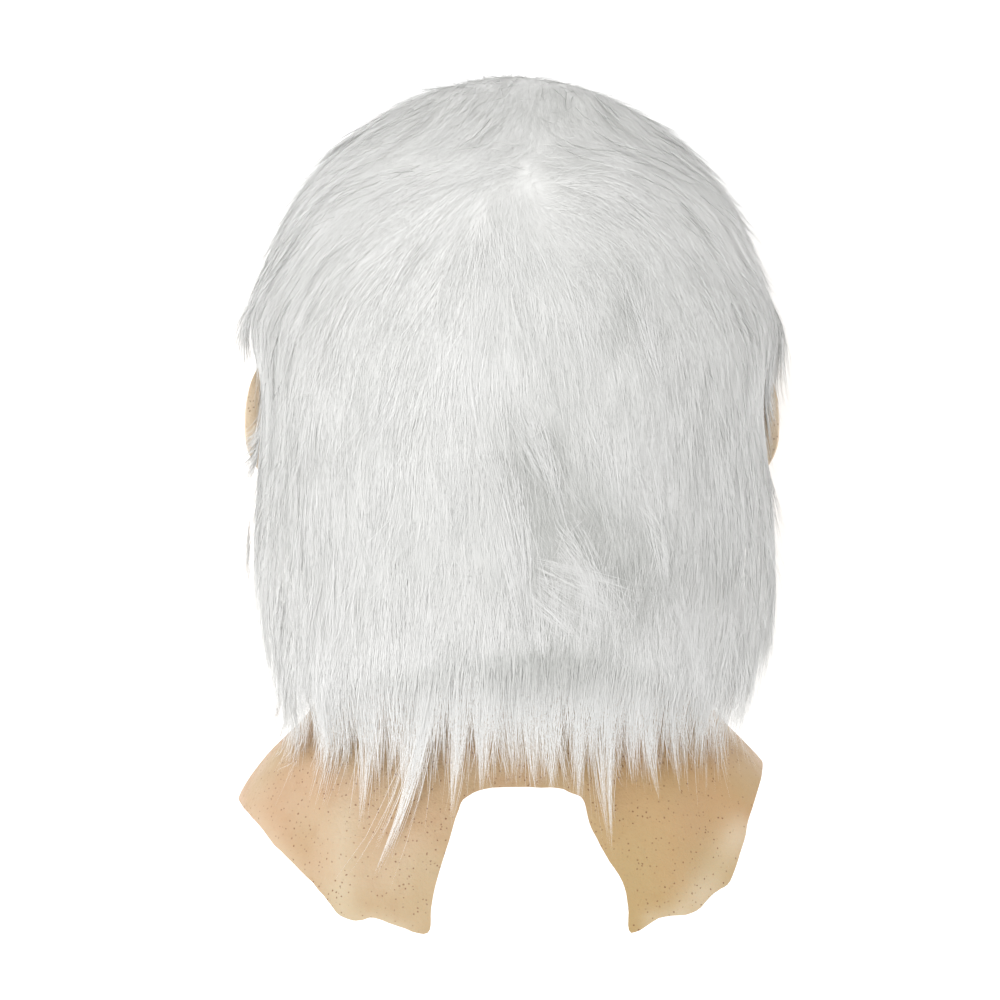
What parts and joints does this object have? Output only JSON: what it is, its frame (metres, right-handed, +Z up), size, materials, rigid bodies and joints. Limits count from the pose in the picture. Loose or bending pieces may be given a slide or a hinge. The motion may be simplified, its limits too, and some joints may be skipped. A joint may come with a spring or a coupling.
{
  "type": "old man mask",
  "caption": "Hollow pull-over head mask of an old man in thin moulded latex with ears, eye holes and open neck flaps, under a glued-on cap of long white imitation fur; lies face down.",
  "frame": {"origin": "on the floor under the middle of the mask's box, with the mask lying face down", "axes": "+Y from the neck rim to the crown, +Z up out of the back of the head, +X to the wearer's right"},
  "size_m": [0.2226, 0.325, 0.2256],
  "materials": {
    "latex": "satin moulded latex, mottled tan with fine brown speckles",
    "white_fur": "matte long-pile imitation fur, off-white"
  },
  "bodies": {
    "root": {"latex_mask": "latex", "fur_wig": "white_fur"}
  },
  "joints": []
}
